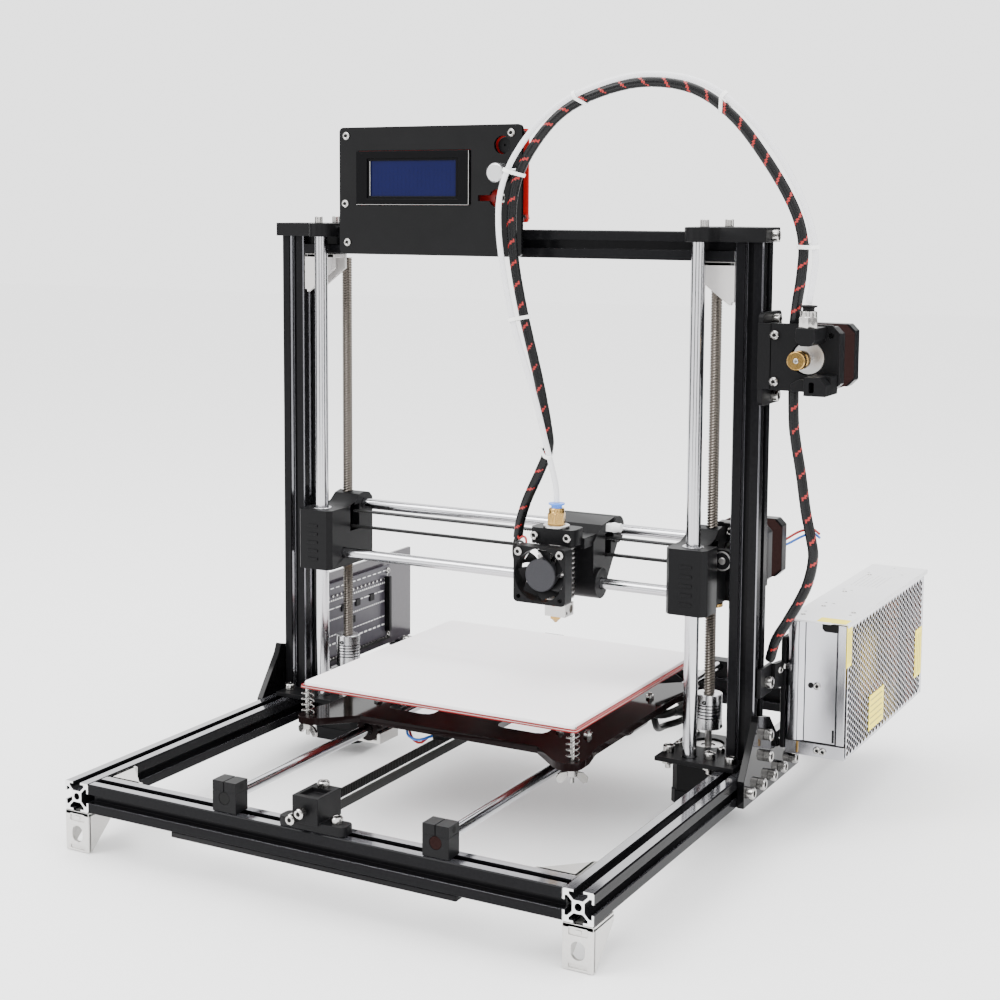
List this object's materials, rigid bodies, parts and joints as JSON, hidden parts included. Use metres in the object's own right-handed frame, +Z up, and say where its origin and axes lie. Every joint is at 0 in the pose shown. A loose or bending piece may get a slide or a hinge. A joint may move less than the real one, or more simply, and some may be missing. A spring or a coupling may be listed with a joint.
{
  "type": "fdm printer",
  "caption": "Desktop fused-filament printer with a slotted-extrusion frame, moving bed, screw-driven gantry, tube-fed hot end, display and side-mounted supply.",
  "frame": {"origin": "centre of the footprint, on the surface the feet stand on", "axes": "+Z up, +X to the printer's right seen from its front, +Y to its back"},
  "size_m": [0.4534, 0.5066, 0.523],
  "materials": {
    "black_extrusion": "satin black anodised",
    "black_moulding": "moulded, satin",
    "black_acrylic": "polished",
    "die_casting": "cast, satin",
    "ground_steel": "ground and polished",
    "screw_steel": "machined",
    "motor_black": "satin",
    "zinc_case": "galvanised",
    "circuit_board": "solder mask",
    "bed_heater": "red solder mask",
    "bed_plate": "pale matte cover",
    "machined_aluminium": "machined",
    "fan_plastic": "moulded",
    "display": "glossy",
    "cable_sleeve": "spiral wrap",
    "filament_tube": "smooth, milky",
    "brass": "turned brass"
  },
  "bodies": {
    "root": {"belt_tensioner": "black_moulding", "controller_board": "circuit_board", "display_module": "display", "display_plate": "black_acrylic", "electronics_plate": "black_acrylic", "extruder_bracket": "black_moulding", "extruder_motor": "motor_black", "filament_tube_fixed_half": "filament_tube", "foot_front_left": "die_casting", "foot_front_right": "die_casting", "foot_rear_left": "die_casting", "foot_rear_right": "die_casting", "front_beam": "black_extrusion", "gusset_left": "black_acrylic", "gusset_right": "black_acrylic", "loom_fixed_half": "cable_sleeve", "loom_lower": "cable_sleeve", "motor_mount_left": "black_moulding", "motor_mount_right": "black_moulding", "power_supply": "zinc_case", "power_supply_plate": "black_moulding", "rear_beam": "black_extrusion", "side_beam_left": "black_extrusion", "side_beam_right": "black_extrusion", "top_bracket_left": "black_moulding", "top_bracket_right": "black_moulding", "top_crossbeam": "black_extrusion", "upright_left": "black_extrusion", "upright_right": "black_extrusion", "y_motor": "motor_black", "y_rod_block_front_left": "black_moulding", "y_rod_block_front_right": "black_moulding", "y_rod_block_rear_left": "black_moulding", "y_rod_block_rear_right": "black_moulding", "y_rod_left": "ground_steel", "y_rod_right": "ground_steel", "z_motor_left": "motor_black", "z_motor_right": "motor_black", "z_rod_left": "ground_steel", "z_rod_right": "ground_steel"},
    "z_gantry": {"x_end_left": "black_moulding", "x_end_right": "black_moulding", "x_rod_upper": "ground_steel", "x_rod_lower": "ground_steel", "x_motor": "motor_black"},
    "x_slide": {"x_carriage": "black_moulding", "hotend": "machined_aluminium", "fan_frame": "fan_plastic", "loom_carriage_half": "cable_sleeve", "filament_tube_carriage_half": "filament_tube"},
    "fan": {"fan_rotor": "fan_plastic"},
    "bed": {"y_carriage": "black_moulding", "heated_bed": "bed_heater", "build_plate": "bed_plate"},
    "screw_left": {"lead_screw_left": "screw_steel"},
    "screw_right": {"lead_screw_right": "screw_steel"},
    "extruder_gear": {"drive_gear": "brass"},
    "encoder": {"encoder_shaft": "machined_aluminium"},
    "knob": {"display_knob": "machined_aluminium"},
    "reset": {"reset_button": "black_moulding"}
  },
  "joints": [
    {"name": "z_travel", "type": "slide", "parent": "root", "child": "z_gantry", "axis": [0, 0, 1], "range_m": [-0.0415, 0.155], "deforming": ["loom_carriage_half", "filament_tube_carriage_half", "loom_fixed_half", "filament_tube_fixed_half"]},
    {"name": "x_travel", "type": "slide", "parent": "z_gantry", "child": "x_slide", "axis": [1, 0, 0], "range_m": [-0.158, 0.047]},
    {"name": "y_travel", "type": "slide", "parent": "root", "child": "bed", "axis": [0, 1, 0], "range_m": [-0.11, 0.09]},
    {"name": "screw_left_turn", "type": "hinge", "parent": "root", "child": "screw_left", "pos_m": [-0.17853, 0.03395, 0.2], "axis": [0, 0, 1], "range_deg": [-7200, 2200]},
    {"name": "screw_right_turn", "type": "hinge", "parent": "root", "child": "screw_right", "pos_m": [0.12767, 0.03395, 0.2], "axis": [0, 0, 1], "range_deg": [-7200, 2200]},
    {"name": "extruder_turn", "type": "hinge", "parent": "root", "child": "extruder_gear", "pos_m": [0.20557, -0.01975, 0.334], "axis": [0, 1, 0], "continuous": true},
    {"name": "fan_spin", "type": "hinge", "parent": "x_slide", "child": "fan", "pos_m": [0.03407, -0.04715, 0.1785], "axis": [0, 1, 0], "continuous": true},
    {"name": "knob_press", "type": "slide", "parent": "root", "child": "encoder", "axis": [0, 1, 0], "range_m": [0, 0.0005], "stiffness_N_per_m": 3000, "springref_m": -0.0005},
    {"name": "knob_turn", "type": "hinge", "parent": "encoder", "child": "knob", "pos_m": [-0.01983, -0.01175, 0.4567], "axis": [0, 1, 0], "continuous": true},
    {"name": "reset_press", "type": "slide", "parent": "root", "child": "reset", "axis": [0, 1, 0], "range_m": [0, 0.0004], "stiffness_N_per_m": 2500, "springref_m": -0.0005}
  ],
  "couplings": [
    {"joint": "screw_left_turn", "follows": "z_travel", "rad_per_m": -785.4},
    {"joint": "screw_right_turn", "follows": "z_travel", "rad_per_m": -785.4}
  ]
}
